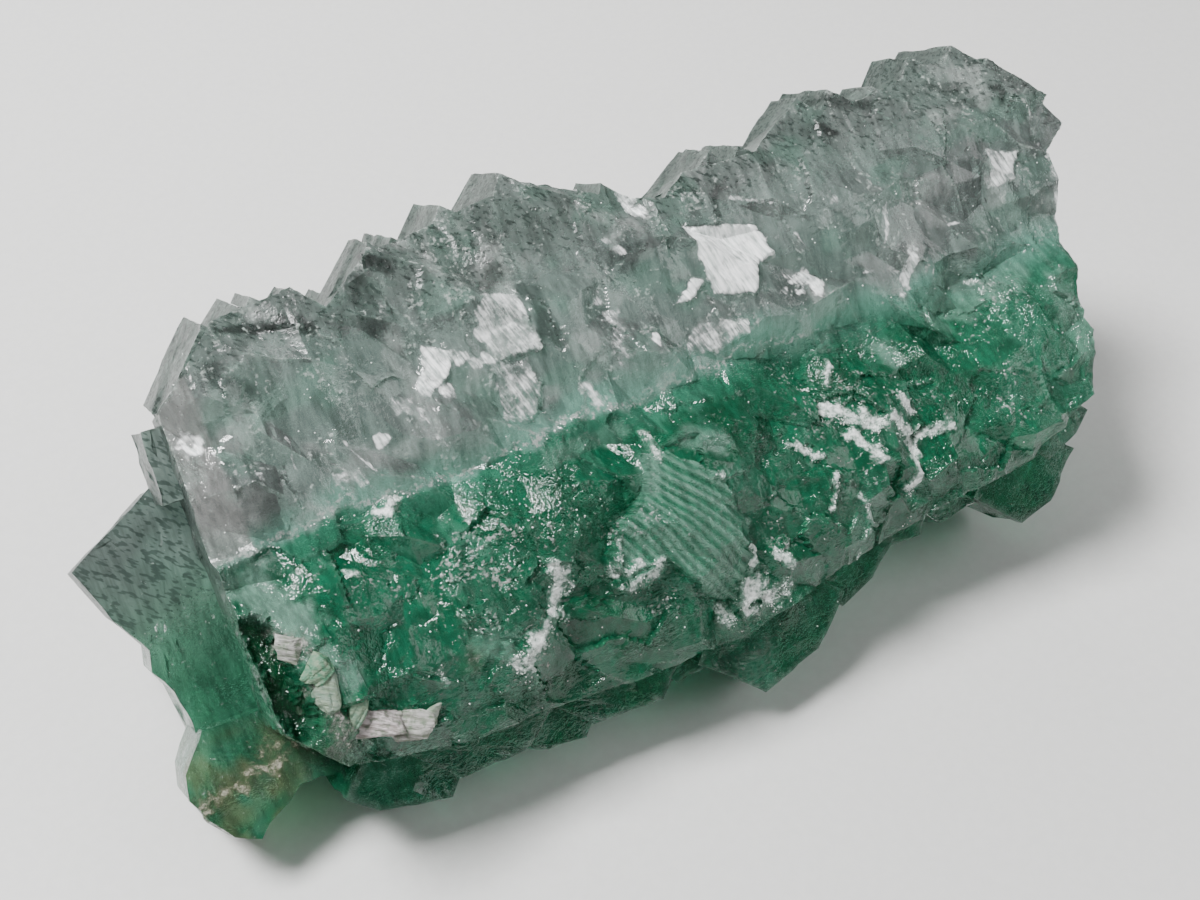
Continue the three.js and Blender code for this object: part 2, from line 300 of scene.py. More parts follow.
def relief(x, y):
    """Height of the fine structure of the broken face above the plain frame, in mm."""
    line = zone_line(x)
    width = 0.4 + 3.0 * ramp(x, 6, 30)
    clear = ramp((y - line) / width, -1, 1)
    upper = facets(x, y, 4.6, 11, turn=84, stretch=2.0, step=0.22, tilt=0.28)
    upper += facets(x, y, 1.9, 21, turn=84, stretch=2.2, step=0.10, tilt=0.13)
    for outline, bright in PLATES:
        plate = inside(x, y, outline, soft=0.2, ragged=0.2)
        middle = np.mean(outline, axis=0)
        tilted = 0.25 + 0.09 * (x - middle[0]) - 0.05 * (y - middle[1])
        upper = upper * (1 - plate) + plate * tilted
    upper = upper * (1 - 0.88 * column(x, y))
    lip = np.maximum(noise(x / 2.5, x * 0, seed=14), 0) * (1 - ramp(x, 6, 20))
    upper += 0.4 * lip * ramp(line + 1.6 - y, 0, 1.6)
    coarse = 0.45 + 0.55 * hackly(x, y)
    lower = facets(x, y, 4.4, 41, turn=-35, stretch=1.35, step=0.70, tilt=0.60)
    lower += coarse * facets(x, y, 1.9, 46, turn=30, stretch=1.4, step=0.26, tilt=0.30)
    lower += 0.09 * coarse * rough(x / 0.8, y / 0.8, seed=47)
    mask = inside(x, y, FAN, soft=0.12, ragged=0.25)
    slope = 2.3 - 0.13 * (x + 4) + 0.02 * (y + 12)
    lower = lower * (1 - 0.92 * mask) + mask * (slope + 0.3 * ribs(x, y))
    lower -= 3.0 * strokes(x, y, CREVICE, soft=0.6)
    lower += 0.3 * strokes(x, y, CRUSTS)
    bevel = np.where(x < -36.9, (x + 36.9) * 0.8, 0) * ramp(y, 2.6, 3.6)
    return clear * upper + (1 - clear) * lower + bevel


# ------------------------------------------------------------------ triangles
def frame_mesh():
    """The frame's solid in the growth frame: its points, each once, and its triangles."""
    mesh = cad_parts[NODE].data
    mesh.calc_loop_triangles()
    points = np.empty(len(mesh.vertices) * 3)
    mesh.vertices.foreach_get("co", points)
    corners = np.empty(len(mesh.loop_triangles) * 3, np.int32)
    mesh.loop_triangles.foreach_get("vertices", corners)
    _, first, which = np.unique(
        np.round(points.reshape(-1, 3), 7), axis=0, return_index=True, return_inverse=True
    )
    tris = which.reshape(-1)[corners].reshape(-1, 3)
    whole = (tris != np.roll(tris, 1, axis=1)).all(1)
    return to_growth(points.reshape(-1, 3)[first]), tris[whole]


def normals_of(v, f):
    """Unit normals of the triangles, and of the points."""
    n = np.cross(v[f[:, 1]] - v[f[:, 0]], v[f[:, 2]] - v[f[:, 0]])
    at = np.zeros_like(v)
    for k in range(3):
        np.add.at(at, f[:, k], n)
    return [m / np.maximum(np.linalg.norm(m, axis=1), 1e-12)[:, None] for m in (n, at)]


SHARP, FINE, MIDDLE, COARSE = 0.3, 0.6, 1.7, 4.0  # longest edges in mm, by how closely a face is seen


def wanted(mid, normal_z):
    """The longest edge allowed at these places."""
    face = (mid[:, 2] > -5) & (normal_z > 0.25)
    seen = (mid[:, 2] > -17) | (mid[:, 1] > 18)
    lined = face & (inside(mid[:, 0], mid[:, 1], FAN) > 0.1)
    rim = (mid[:, 2] > -15) & (mid[:, 1] > 16)
    face[rim] |= strokes(mid[rim, 0], mid[rim, 1], PAINTED_DARK_WINDOWS) > 0.05
    return np.where(lined, SHARP, np.where(face, FINE, np.where(seen, MIDDLE, COARSE)))


def refine(v, f, limit):
    """Halves the edges that are too long until none is left."""
    while True:
        pairs = np.sort(np.concatenate([f[:, [0, 1]], f[:, [1, 2]], f[:, [2, 0]]]), axis=1)
        edges, which = np.unique(pairs, axis=0, return_inverse=True)
        which = which.reshape(3, -1).T
        a, b = v[edges[:, 0]], v[edges[:, 1]]
        facing = np.full(len(edges), -1.0)
        np.maximum.at(facing, which, np.repeat(normals_of(v, f)[0][:, 2:], 3, axis=1))
        long = np.linalg.norm(a - b, axis=1) > limit((a + b) / 2, facing)
        if not long.any():
            return v, f
        middle = np.full(len(edges), -1)
        middle[long] = len(v) + np.arange(long.sum())
        v = np.vstack([v, ((a + b) / 2)[long]])
        m = middle[which]
        cut = m >= 0
        count = cut.sum(1)
        parts = [f[count == 0]]
        for k in range(3):
            i, j = (k + 1) % 3, (k + 2) % 3
            one, two = (count == 1) & cut[:, k], (count == 2) & ~cut[:, k]
            A, B, C, M = f[one, k], f[one, i], f[one, j], m[one, k]
            parts += [np.stack([A, M, C], 1), np.stack([M, B, C], 1)]
            A, B, C, P, Q = f[two, k], f[two, i], f[two, j], m[two, i], m[two, j]
            parts += [np.stack([C, Q, P], 1), np.stack([A, B, P], 1), np.stack([A, P, Q], 1)]
        A, B, C = f[count == 3].T
        P, Q, R = m[count == 3].T
        parts += [np.stack(t, 1) for t in ((A, P, R), (P, B, Q), (R, Q, C), (P, Q, R))]
        f = np.vstack(parts)


def make(name, points, faces, sharp=None):
    """An object from points in the growth frame."""
    mesh = bpy.data.meshes.new(name)
    mesh.from_pydata(to_row(points), [], np.asarray(faces).tolist())
    if sharp is not None:
        mesh.polygons.foreach_set("use_smooth", np.ones(len(mesh.polygons), bool))
        mesh.set_sharp_from_angle(angle=math.radians(sharp))
    ob = bpy.data.objects.new(name, mesh)
    bpy.context.collection.objects.link(ob)
    return ob


def store(ob, name, values):
    """Keeps a number, or a colour, for each point of a mesh."""
    values = np.asarray(values, np.float32)
    if values.ndim == 1:
        ob.data.attributes.new(name, "FLOAT", "POINT").data.foreach_set("value", values)
        return
    colours = np.ones((len(values), 4), np.float32)
    colours[:, :3] = np.clip(values, 0, 1)
    ob.data.attributes.new(name, "FLOAT_COLOR", "POINT").data.foreach_set("color", colours.ravel())


# ------------------------------------------------------------------ the cluster itself
def crystal_steps(p):
    """Thin growth terraces on the cube faces, along their normals, in mm."""
    u, v, w = (p @ CUBE_EDGES.T).T
    return facets(u + w, v - w, 2.6, 61, stretch=1.6, step=0.34, tilt=0.10)


def crystal_tones(p, front):
    """The colour of the glass at each point."""
    x, y, z = p.T
    line = zone_line(x)
    blur = 0.4 + 2.8 * ramp(x, 6, 34)
    on_face = ramp((y - line + 0.35 * rough(x / 1.4, y / 1.4, seed=90)) / blur, -1, 1)
    beside = ramp(y + 2.2 * rough(x / 7, y / 7, z / 7, seed=92), -9, 8)
    clear = mixed(front, beside, on_face)

    bent_x = x + 0.5 * noise(x, y, seed=93)
    bent_y = y + 0.5 * noise(y, x, seed=94) + 0.4 * z
    a, b, _, _ = nearest(bent_x, bent_y, 3.0, 95, turn=-35)
    own = scramble(a, b, seed=96)
    deep = np.clip(0.5 + 0.45 * rough(x / 10, y / 10, z / 10, seed=97) + 0.5 * (own - 0.5), 0, 1)
    green = mixed(deep, (0.004, 0.135, 0.060), (0.016, 0.235, 0.120))
    greyish = ramp(own, 0.74, 0.80) * ramp(rough(x / 4, y / 4, seed=98), -0.3, 0.3)
    green = mixed(0.45 * greyish, green, (0.085, 0.31, 0.20))
    green = mixed(0.45 * ramp(x + 0.3 * y, 38, 56), green, (0.070, 0.31, 0.195))
    green = mixed(0.55 * ramp(line - y, 4.5, 0.0) * front, green, (0.085, 0.36, 0.235))
    lined = inside(x, y, FAN, soft=0.25) * front
    green = mixed(lined, green, mixed(ramp(ribs(x, y), 0.2, 0.8), (0.045, 0.27, 0.15), (0.24, 0.54, 0.39)))
    green = mixed(0.85 * strokes(x, y, PALE) * front, green, (0.34, 0.62, 0.49))
    green = mixed(0.6 * strokes(x, y, BROWN, soft=0.8) * (1 - 0.4 * front), green, (0.17, 0.17, 0.08))
    # Painted shade: the crevice darkened almost to black.
    green = mixed(0.8 * strokes(x, y, CREVICE, soft=0.7) * front, green, (0.004, 0.06, 0.02))

    green = mixed(0.6 * (1 - front) * ramp(y, -26, 2), green, (0.13, 0.30, 0.20))
    block = (1 - front) * ramp(x, -38, -41) * ramp(y, -12, -16)
    patchy = ramp(rough(x / 2.6, y / 2.6, z / 2.6, seed=106), -0.5, 0.6)
    green = mixed(0.75 * block * patchy, green, (0.19, 0.20, 0.10))

    cloud = np.clip(0.5 + 0.5 * rough(x / 6, y / 9, z / 9, seed=99), 0, 1)
    grey = mixed(cloud, (0.165, 0.205, 0.192), (0.285, 0.32, 0.31))
    grey = grey * (1 + 0.22 * noise(x / 0.8, y / 5, seed=100) * front)[:, None]
    grey = mixed(0.5 * ramp(rough(x / 5, y / 4, seed=101), 0.1, 0.7), grey, (0.20, 0.36, 0.29))
    rim = ramp(y, 19, 25) * (1 - 0.5 * front) + 0.6 * (1 - front)
    grey = mixed(0.7 * np.clip(rim, 0, 1), grey, (0.11, 0.17, 0.14))
    band = ramp(line + 4.2 + 1.2 * noise(x / 4, x * 0, seed=102) - y, 0, 3.6) * front
    grey = mixed(0.95 * band, grey, (0.27, 0.58, 0.46))
    milky = ramp(rough(x / 3.2, y / 3.6, seed=103), 0.25, 0.9) * front
    grey = mixed(0.5 * milky, grey, (0.66, 0.68, 0.67))
    # Lighter frosted side: partly the frost's own colour, partly painted light where it faces the key lamp.
    grey = mixed(0.8 * column(x, y) * front, grey, (0.46, 0.46, 0.45))
    grey = mixed(0.6 * ramp(x, -42, -46) * (1 - front), grey, (0.10, 0.125, 0.115))
    # Painted shade: the see-through spots on the rim darkened.
    grey = grey * (1 - 0.85 * strokes(x, y, PAINTED_DARK_WINDOWS, soft=0.35, ragged=0.3) * ramp(z, -15, -13))[:, None]
    return mixed(clear, green, grey), clear


def edge_highlight(v, f):
    """How sharply the surface turns outwards at each point, from 0 to 1: the mask of the painted highlight
    on convex edges.
    """
    n = np.cross(v[f[:, 1]] - v[f[:, 0]], v[f[:, 2]] - v[f[:, 0]])
    area, at = np.zeros(len(v)), np.zeros_like(v)
    around, count = np.zeros_like(v), np.zeros(len(v))
    for k in range(3):
        np.add.at(at, f[:, k], n)
        np.add.at(area, f[:, k], np.linalg.norm(n, axis=1))
        np.add.at(around, f[:, k], v[f[:, (k + 1) % 3]])
        np.add.at(count, f[:, k], 1)
    length = np.linalg.norm(at, axis=1)
    bend = 1 - length / np.maximum(area, 1e-12)
    out = ((v - around / np.maximum(count, 1)[:, None]) * at).sum(1) / np.maximum(length, 1e-12)
    return ramp(bend, 0.02, 0.14) * ramp(out, 0.0, 0.06)


def cluster():
    p, faces = refine(*frame_mesh(), wanted)
    n = normals_of(p, faces)[1]
    front = ramp(p[:, 2], -6.5, -3.5) * ramp(n[:, 2], 0.05, 0.35)
    new = p.copy()
    new[:, 2] += ramp(p[:, 2], -7.0, -3.0) * relief(p[:, 0], p[:, 1])
    new += n * (crystal_steps(p) * (1 - front))[:, None]
    above_floor = p @ GROW[2] + START[2]
    new = p + (new - p) * ramp(above_floor, 0.02, 0.6)[:, None]
    # Mask of the painted highlight on the convex edges, towards the broken face.
    edge = edge_highlight(new, faces) * ramp(p[:, 2], -12, -8)
    ob = make("cluster", new, faces, sharp=24)
    x, y = p[:, 0], p[:, 1]
    tone, clear = crystal_tones(p, front)
    green = 1 - clear
    lace_and_glints = np.maximum(0.6 * strokes(x, y, LACE, soft=0.8), 0.7 * strokes(x, y, CRUSTS, soft=0.9)) * front
    lip = ramp(np.abs(y - zone_line(x) - 0.5), 0.9, 0.1) * (1 - ramp(x, 18, 45)) * front
    # Painted highlight: the convex edges lightened towards pale sage.
    tone = mixed(edge * (0.4 - 0.3 * front * green), tone, (0.42, 0.54, 0.48))
    store(ob, "tone", tone)
    # Painted glints: white flecks over the face of the clear growth, carried by the white mask.
    sparkle = (0.1 + 0.42 * ramp(rough(x / 2.2, y / 3.5, seed=104), 0.0, 0.8)) * (1 - green) * front
    # The white mask also takes the real crumbs of the border lip and the painted highlight on the convex
    # edges.
    lace_and_glints = np.maximum(np.maximum(lace_and_glints, 0.8 * lip), 0.7 * edge * front * (1 - 0.85 * green))
    store(ob, "lace_and_glints", np.maximum(lace_and_glints, sparkle) + 0.12 * green * hackly(x, y))
    store(ob, "etched", 1.12 * ramp(clear, 0.15, 0.6) * (1 - front) + 1.02 * ramp(y, 17, 22) * front)
    store(ob, "hackly", mixed(clear, 0.3 + 0.55 * hackly(x, y), 0.22) * (0.6 + 0.4 * front))
    return ob, new, faces


# ------------------------------------------------------------------ what lies on it
def brightness(x, y):
    """How strongly the painted highlights show at these places: the glints, and the flashes of the cleavage
    plates.
    """
    total = strokes(x, y, GLINTS, ragged=0.8, soft=0.9)
    for outline, bright in PLATES:
        total = np.maximum(total, bright * inside(x, y, outline, soft=0.35, ragged=0.3))
    return total


def whiteness(x, y):
    """How thick the white powder lies at these places."""
    return np.maximum(strokes(x, y, CRUSTS, ragged=0.6, soft=0.95), 0.42 * strokes(x, y, LACE, soft=0.95))


def skin(name, p, faces, strength, chosen, edge):
    """A ragged skin a hair above some of the triangles, where a strength is over 0."""
    used, which = np.unique(faces[chosen], return_inverse=True)
    v, f = refine(p[used], which.reshape(-1, 3), lambda mid, facing: np.full(len(mid), edge))
    share = strength(v[:, 0], v[:, 1])
    f = f[(share[f] > 0.08).any(1)]
    used, which = np.unique(f, return_inverse=True)
    v, f, share = v[used], which.reshape(-1, 3), share[used]
    v = v + normals_of(v, f)[1] * (0.05 + 0.015 * noise(v[:, 0] / 0.5, v[:, 1] / 0.9, seed=110))[:, None]
    ob = make(name, v, f, sharp=40)
    store(ob, "share", share)
    return ob


def flashes(p, faces):
    """White skins over the cleavage plates and glints of the clear growth: painted highlights."""
    middle, up = p[faces].mean(1), normals_of(p, faces)[0][:, 2]
    chosen = (middle[:, 2] > -6) & (up > 0.3) & (brightness(middle[:, 0], middle[:, 1]) > 0.02)
    return skin("flashes", p, faces, brightness, chosen, 0.26)


def film(p, faces):
    """The white film under the powder, on the green break."""
    middle, up = p[faces].mean(1), normals_of(p, faces)[0][:, 2]
    chosen = (middle[:, 2] > -7) & (up > 0.15) & (middle[:, 1] < zone_line(middle[:, 0]))
    chosen &= whiteness(middle[:, 0], middle[:, 1]) > 0.02
    return skin("film", p, faces, whiteness, chosen, 0.32)


def vein(p, faces):
    """The brownish white vein across the green block at the left end."""
    middle, up = p[faces].mean(1), normals_of(p, faces)[0][:, 2]
    chosen = (middle[:, 0] < -36) & (middle[:, 2] < -8) & (middle[:, 2] > -16) & (up > 0.3)
    return skin("vein", p, faces, lambda x, y: strokes(x, y, VEIN, ragged=0.9, soft=0.95), chosen, 0.4)


def stain(p, faces):
    """Greyish, faintly pink crumbs along the left edge of the green break."""
    middle, up = p[faces].mean(1), normals_of(p, faces)[0][:, 2]
    chosen = (middle[:, 2] > -8) & (up > 0.1) & (strokes(middle[:, 0], middle[:, 1], STAIN, soft=0.9) > 0.02)
    return skin("stain", p, faces, lambda x, y: strokes(x, y, STAIN, ragged=0.8, soft=0.95), chosen, 0.35)


def scatter(p, faces, count, rng):
    """Points spread evenly over some triangles, and the normals there."""
    n = np.cross(p[faces[:, 1]] - p[faces[:, 0]], p[faces[:, 2]] - p[faces[:, 0]])
    area = np.linalg.norm(n, axis=1)
    pick = rng.choice(len(faces), count, p=area / area.sum())
    u, v = rng.random((2, count))
    flip = u + v > 1
    u[flip], v[flip] = 1 - u[flip], 1 - v[flip]
    a, b, c = (p[faces[pick, k]] for k in range(3))
    at = a + u[:, None] * (b - a) + v[:, None] * (c - a)
    return at, n[pick] / area[pick][:, None]


def octahedra(centres, radii, rng):
    """One small uneven octahedron at each centre."""
    corners = np.array([(1, 0, 0), (-1, 0, 0), (0, 1, 0), (0, -1, 0), (0, 0, 1), (0, 0, -1)], float)
    sides = np.array([
        (0, 2, 4), (2, 1, 4), (1, 3, 4), (3, 0, 4),
        (2, 0, 5), (1, 2, 5), (3, 1, 5), (0, 3, 5),
    ])
    q = rng.normal(size=(len(centres), 4))
    q /= np.linalg.norm(q, axis=1)[:, None]
    w, x, y, z = q.T
    turn = np.stack([
        np.stack([1 - 2 * (y * y + z * z), 2 * (x * y - w * z), 2 * (x * z + w * y)], 1),
        np.stack([2 * (x * y + w * z), 1 - 2 * (x * x + z * z), 2 * (y * z - w * x)], 1),
        np.stack([2 * (x * z - w * y), 2 * (y * z + w * x), 1 - 2 * (x * x + y * y)], 1),
    ], 1)
    uneven = corners * (1 + 0.5 * (rng.random((len(centres), 6, 1)) - 0.5))
    points = np.einsum("nij,nkj->nki", turn, uneven) * radii[:, None, None] + centres[:, None, :]
    faces = sides[None] + 6 * np.arange(len(centres))[:, None, None]
    return points.reshape(-1, 3), faces.reshape(-1, 3)


GRAINS = 420000  # places tried for a grain of powder


def crust(p, faces):
    """The white powder, grain by grain."""
    rng = np.random.default_rng(7)
    n = normals_of(p, faces)[0]
    middle = p[faces].mean(1)
    front = faces[(middle[:, 2] > -6) & (n[:, 2] > 0.2)]
    at, up = scatter(p, front, GRAINS, rng)
    x, y = at[:, 0], at[:, 1]
    below = 1 - ramp(y, zone_line(x) - 0.3, zone_line(x) + 0.3)
    feather = 0.5 + 0.5 * rough(x / 0.7, y / 0.7, seed=120)
    share = whiteness(x, y) ** 1.9 * ramp(feather + 0.6 * whiteness(x, y), 0.7, 1.5)
    # A thin scatter of grains over the whole face, the clear growth too: partly real white specks, partly
    # painted glints.
    share = np.maximum(0.8 * share * below, 0.012 * ramp(feather, 0.9, 1.1) + 0.0006)
    lip = ramp(np.abs(y - zone_line(x) - 0.2), 0.5, 0.0) * (1 - ramp(x, 12, 26))
    share = np.maximum(share, 0.25 * lip * ramp(feather, 0.55, 0.95))
    kept = rng.random(len(at)) < share
    at, up = at[kept], up[kept]
    radii = 0.035 + 0.085 * rng.random(len(at)) ** 2
    points, sides = octahedra(at + 0.3 * radii[:, None] * up, radii, rng)
    return make("crust", points, sides)


CHUNKS = [  # x, y, half lengths along, across and up, turn in degrees, paleness
    (-32.6, -17.0, 4.6, 2.1, 1.6, -30, 1.0), (-29.2, -18.4, 3.2, 1.7, 1.2, -22, 0.75),
    (-37.6, -6.6, 2.0, 1.6, 1.1, -50, 0.7), (-36.1, -12.6, 3.6, 1.5, 0.9, 75, 0.25),
    (-26.8, -18.6, 2.2, 1.0, 0.6, 5, 0.5), (-36.0, -9.4, 2.2, 1.7, 0.9, 20, 0.0),
    (-34.2, -14.8, 2.2, 1.4, 0.9, 40, 0.1),
]
STAIN = [
    (-37.8, -5.9, -36.4, -8.2, 1.3, 0.8), (-36.6, -11, -35.6, -17, 1.5, 0.8),
    (-33.5, -16.8, -28.5, -19, 1.6, 0.6),
    (-21.2, -14.6, -20.2, -15.4, 0.9, 0.8),
]


def chunks(p):
    """The pale lined chunks wedged into the lower left of the broken face."""
    rng = np.random.default_rng(11)
    points, faces, pales, total = [], [], [], 0
    for cx, cy, a, b, c, turn, pale in CHUNKS:
        corners = rng.normal(size=(12, 3))
        corners *= 1 / np.linalg.norm(corners, axis=1)[:, None]
        bm = bmesh.new()
        for corner in corners * (a, b, c):
            bm.verts.new(corner)
        bmesh.ops.convex_hull(bm, input=bm.verts)
        loose = [v for v in bm.verts if not v.link_faces]
        bmesh.ops.delete(bm, geom=loose, context="VERTS")
        bmesh.ops.triangulate(bm, faces=bm.faces)
        bm.verts.index_update()
        v = np.array([q.co for q in bm.verts])
        f = np.array([[q.index for q in face.verts] for face in bm.faces])
        bm.free()
        v, f = refine(v, f, lambda mid, facing: np.full(len(mid), 0.22))
        n = normals_of(v, f)[1]
        lines = 0.10 * noise(v[:, 1] / 0.22 + v[:, 2] / 0.3, v[:, 0] / 3.0, seed=130)
        flat = facets(v[:, 0], v[:, 1] + v[:, 2], 1.1, 140, turn=20, stretch=1.8)
        v = v + n * (lines + 0.12 * flat)[:, None]
        s, t = math.sin(math.radians(turn)), math.cos(math.radians(turn))
        v = v @ np.array([[t, s, 0], [-s, t, 0], [0, 0, 1]])
        near = np.hypot(p[:, 0] - cx, p[:, 1] - cy) + 100 * (p[:, 2] < -7)
        ground = p[np.argsort(near)[:40], 2].mean()
        points.append(v + (cx, cy, ground + 0.25 * c))
        faces.append(f + total)
        pales.append(np.full(len(v), pale))
        total += len(v)
    ob = make("chunks", np.vstack(points), np.vstack(faces), sharp=22)
    store(ob, "pale", np.concatenate(pales))
    return ob


# ------------------------------------------------------------------ materials
class Graph:
    """Short calls for building a node material."""

    def __init__(self, name):
        self.material = bpy.data.materials.new(name)
        self.material.use_nodes = True
        self.tree = self.material.node_tree
        self.tree.nodes.clear()
        self.out = self.node("ShaderNodeOutputMaterial")

    def node(self, kind, **settings):
        made = self.tree.nodes.new(kind)
        for key, value in settings.items():
            setattr(made, key, value)
        return made

    def link(self, source, target):
        self.tree.links.new(source, target)

    def feed(self, target, value):
        if isinstance(value, bpy.types.NodeSocket):
            self.link(value, target)
        else:
            target.default_value = value

    def math(self, kind, a, b=0.0):
        made = self.node("ShaderNodeMath", operation=kind)
        self.feed(made.inputs[0], a)
        self.feed(made.inputs[1], b)
        return made.outputs[0]

    def span(self, value, low, high, to_low=0.0, to_high=1.0):
        made = self.node("ShaderNodeMapRange", interpolation_type="SMOOTHSTEP")
        for name, v in (("Value", value), ("From Min", low), ("From Max", high),
                        ("To Min", to_low), ("To Max", to_high)):
            self.feed(made.inputs[name], v)
        return made.outputs[0]

    def mix(self, share, a, b):
        made = self.node("ShaderNodeMix", data_type="RGBA")
        self.feed(made.inputs[0], share)
        self.feed(made.inputs[6], a)
        self.feed(made.inputs[7], b)
        return made.outputs[2]

    def place(self, axes=None):
        """Object coordinates in mm, along the axes of the growth frame or along others given in it."""
        rows = GROW.T if axes is None else np.asarray(axes) @ GROW.T
        join = self.node("ShaderNodeCombineXYZ")
        source = self.node("ShaderNodeTexCoord").outputs["Object"]
        for k in range(3):
            dot = self.node("ShaderNodeVectorMath", operation="DOT_PRODUCT")
            self.link(source, dot.inputs[0])
            dot.inputs[1].default_value = tuple(rows[k] * 1000)
            self.link(dot.outputs["Value"], join.inputs[k])
        return join.outputs[0]

    def noise(self, place, scale, detail=2.0, rough=0.55):
        made = self.node("ShaderNodeTexNoise")
        self.link(place, made.inputs["Vector"])
        made.inputs["Scale"].default_value = scale
        made.inputs["Detail"].default_value = detail
        made.inputs["Roughness"].default_value = rough
        return made.outputs["Fac"]

    def stored(self, name, output="Fac"):
        return self.node("ShaderNodeAttribute", attribute_name=name).outputs[output]

    def shader(self, **values):
        made = self.node("ShaderNodeBsdfPrincipled")
        for key, value in values.items():
            self.feed(made.inputs[key.replace("_", " ")], value)
        self.link(made.outputs[0], self.out.inputs["Surface"])
        return made

    def bump(self, height, strength, distance):
        made = self.node("ShaderNodeBump")
        made.inputs["Strength"].default_value = strength
        made.inputs["Distance"].default_value = distance
        self.link(height, made.inputs["Height"])
        return made.outputs[0]


def colour(r, g, b):
    return (r, g, b, 1.0)


def crystal_material():
    g = Graph("crystal")
    place = g.place()
    fine = g.noise(place, 1.7, 2, 0.7)
    pit = g.noise(g.place(CUBE_EDGES * np.array([[2.6], [0.8], [2.6]])), 1.0, 1, 0.5)
    etched = g.stored("etched")
    dark = g.span(g.math("MULTIPLY", pit, etched), 0.57, 0.68)
    streak = g.noise(g.place([(1.5, 0, 0), (0, 0.3, 0), (0, 0, 0.8)]), 1.0, 2, 0.7)
    tone = g.mix(g.span(streak, 0.30, 0.70), colour(0.68, 0.68, 0.68), colour(1.25, 1.25, 1.25))
    lit = g.node("ShaderNodeMix", data_type="RGBA", blend_type="MULTIPLY")
    lit.inputs[0].default_value = 1.0
    g.link(g.stored("tone", "Color"), lit.inputs[6])
    g.link(tone, lit.inputs[7])
    base = g.mix(g.math("MULTIPLY", dark, 0.75), lit.outputs[2], colour(0.02, 0.035, 0.03))
    # White from the stored mask: real powder and lace, with painted glints and painted edge highlights.
    white = g.span(g.math("ADD", fine, g.math("MULTIPLY", g.stored("lace_and_glints"), 0.30)), 0.68, 0.84)
    base = g.mix(white, base, colour(0.80, 0.86, 0.82))
    height = g.math("MULTIPLY", fine, g.stored("hackly"))
    g.shader(
        Base_Color=base,
        Roughness=g.math("ADD", g.span(fine, 0.35, 0.75, 0.06, 0.26), g.math("MULTIPLY", etched, 0.2)),
        Transmission_Weight=0.72,
        IOR=1.45,
        Normal=g.bump(height, 0.6, 0.0007),
    )
    absorb = g.node("ShaderNodeVolumeAbsorption")
    absorb.inputs["Color"].default_value = colour(0.55, 0.76, 0.69)
    absorb.inputs["Density"].default_value = 34.0
    g.link(absorb.outputs[0], g.out.inputs["Volume"])
    return g.material


def flash_material():
    g = Graph("flash")
    brushed = g.noise(g.place([(2.4, 0.7, 0), (-0.1, 0.3, 0), (0, 0, 1)]), 1.0, 3, 0.65)
    cloud = g.noise(g.place(), 0.6, 3, 0.6)
    share = g.stored("share")
    # Painted highlight: grey to white streaks for the flashes off the plates and glints.
    tone = g.mix(g.span(brushed, 0.30, 0.66), colour(0.50, 0.56, 0.54), colour(0.99, 1.0, 1.0))
    fade = g.math("ADD", g.math("MULTIPLY", brushed, 0.9), g.math("MULTIPLY", cloud, 1.3))
    g.shader(
        Base_Color=tone,
        Roughness=g.span(brushed, 0.3, 0.7, 0.40, 0.18),
        Alpha=g.span(g.math("ADD", g.math("MULTIPLY", share, 1.15), fade), 1.50, 2.35),
        Normal=g.bump(brushed, 0.6, 0.0004),
    )
    return g.material


def film_material(name, dark, light):
    g = Graph(name)
    grain = g.noise(g.place(), 1.6, 4, 0.75)
    share = g.stored("share")
    thick = g.math("ADD", g.math("MULTIPLY", share, 0.6), grain)
    g.shader(
        Base_Color=g.mix(g.span(thick, 0.78, 1.20), dark, light),
        Roughness=g.span(grain, 0.3, 0.7, 0.6, 0.85),
        Alpha=g.span(thick, 0.70, 1.28),
        Normal=g.bump(grain, 0.7, 0.0004),
    )
    return g.material


def powder_material():
    g = Graph("powder")
    speck = g.noise(g.place(), 2.2, 2)
    g.shader(
        Base_Color=g.mix(g.span(speck, 0.3, 0.7), colour(0.66, 0.72, 0.68), colour(0.90, 0.91, 0.90)),
        Roughness=g.span(speck, 0.3, 0.7, 0.55, 0.85),
    )
    return g.material


def chunk_material():
    g = Graph("chunk")
    line = g.noise(g.place([(0.4, -0.25, 0), (1.6, 2.6, 0), (0, 0, 2.4)]), 1.0, 3, 0.6)
    speck = g.noise(g.place(), 1.6, 3)
    tone = g.mix(g.span(line, 0.34, 0.62), colour(0.22, 0.20, 0.18), colour(0.53, 0.475, 0.48))
    tone = g.mix(g.span(speck, 0.42, 0.75), tone, colour(0.12, 0.16, 0.11))
    dull = g.mix(g.span(speck, 0.35, 0.65), colour(0.05, 0.16, 0.09), colour(0.17, 0.24, 0.16))
    tone = g.mix(g.stored("pale"), dull, tone)
    g.shader(Base_Color=tone, Roughness=g.span(speck, 0.3, 0.7, 0.5, 0.8), Normal=g.bump(line, 0.8, 0.0004))
    return g.material


# ------------------------------------------------------------------ the pieces
whole, surface, triangles = cluster()
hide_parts(NODE)
WHITE = colour(0.26, 0.46, 0.36), colour(0.86, 0.89, 0.87)
CREAM = colour(0.16, 0.17, 0.09), colour(0.44, 0.42, 0.34)
ROSE = colour(0.14, 0.18, 0.13), colour(0.50, 0.46, 0.45)
for piece, material, slot in (
    (whole, crystal_material(), "crystal"),
    (flashes(surface, triangles), flash_material(), "crystal"),
    (film(surface, triangles), film_material("film", *WHITE), "crust"),
    (vein(surface, triangles), film_material("vein", *CREAM), "crust"),
    (stain(surface, triangles), film_material("stain", *ROSE), "crust"),
    (crust(surface, triangles), powder_material(), "crust"),
    (chunks(surface), chunk_material(), "crust"),
):
    piece.data.materials.append(material)
    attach(piece, "root")


# ------------------------------------------------------------------ floor, light and camera
FLOOR = 8.0  # side of the floor, m
LENS, SENSOR = 48, 36  # mm
CAMERA_TURN, CAMERA_HEIGHT = math.radians(29.2), math.radians(45)
CAMERA_AWAY = 0.168  # from the middle of the broken face, m


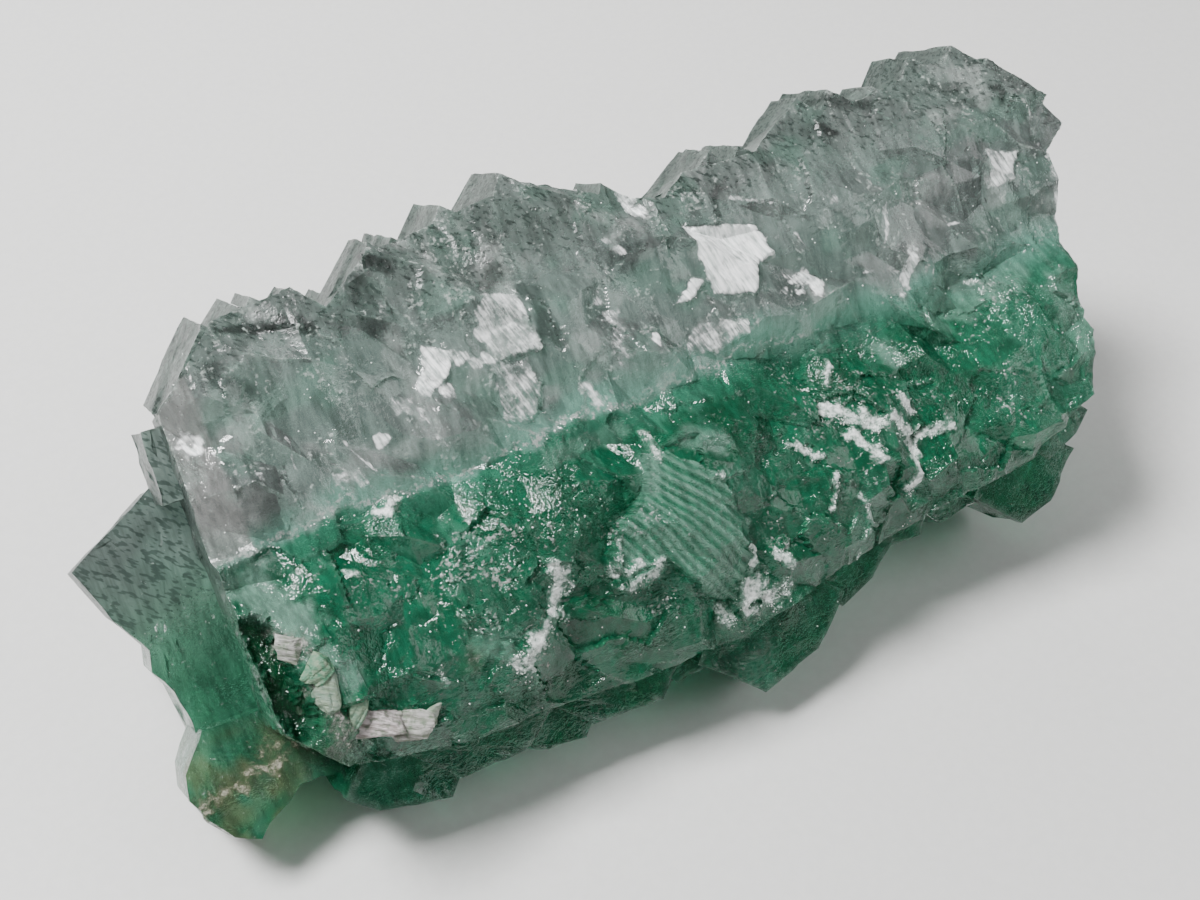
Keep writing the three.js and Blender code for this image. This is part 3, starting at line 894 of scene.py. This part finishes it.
def floor():
    half = FLOOR / 2
    mesh = bpy.data.meshes.new("floor")
    corners = [(-half, -half, 0), (half, -half, 0), (half, half, 0), (-half, half, 0)]
    mesh.from_pydata(corners, [], [(0, 1, 2, 3)])
    ob = bpy.data.objects.new("floor", mesh)
    bpy.context.collection.objects.link(ob)
    g = Graph("floor")
    speck = g.span(g.noise(g.place(), 0.8, 2), 0.3, 0.7)
    g.shader(Base_Color=g.mix(speck, colour(0.60, 0.60, 0.59), colour(0.62, 0.62, 0.61)), Roughness=0.6)
    mesh.materials.append(g.material)


def light(name, place, power, size, aim=(0, 0, 0.03)):
    data = bpy.data.lights.new(name, "AREA")
    data.shape = "RECTANGLE"
    data.size, data.size_y = size
    data.energy = power
    ob = bpy.data.objects.new(name, data)
    bpy.context.collection.objects.link(ob)
    ob.location = place
    way = Vector(aim) - Vector(place)
    ob.rotation_euler = way.to_track_quat("-Z", "Y").to_euler()


def studio():
    light("key", (-0.30, 0.10, 0.62), 12.0, (0.25, 0.2))
    light("fill", (0.55, -0.45, 0.5), 3.0, (0.6, 0.5))
    light("back", (0.1, 0.6, 0.35), 2.5, (0.5, 0.25))
    world = bpy.data.worlds.new("studio")
    world.use_nodes = True
    world.node_tree.nodes["Background"].inputs[0].default_value = colour(0.8, 0.8, 0.8)
    world.node_tree.nodes["Background"].inputs[1].default_value = 0.25
    bpy.context.scene.world = world


def camera():
    data = bpy.data.cameras.new("camera")
    data.lens = LENS
    data.sensor_width = SENSOR
    data.clip_start = 0.005
    ob = bpy.data.objects.new("camera", data)
    bpy.context.collection.objects.link(ob)
    aim = to_row([0, 0, 0])
    out = Vector((
        -math.sin(CAMERA_TURN) * math.cos(CAMERA_HEIGHT),
        -math.cos(CAMERA_TURN) * math.cos(CAMERA_HEIGHT),
        math.sin(CAMERA_HEIGHT),
    ))
    ob.location = Vector(aim) + CAMERA_AWAY * out
    ob.rotation_euler = (-out).to_track_quat("-Z", "Y").to_euler()
    bpy.context.scene.camera = ob


def light_paths():
    """Fewer turns of the light inside the glass, where the last ones no longer show."""
    paths = bpy.context.scene.cycles
    paths.max_bounces = 5
    paths.transmission_bounces = 4
    paths.diffuse_bounces = 2
    paths.glossy_bounces = 2


floor()
studio()
camera()
light_paths()
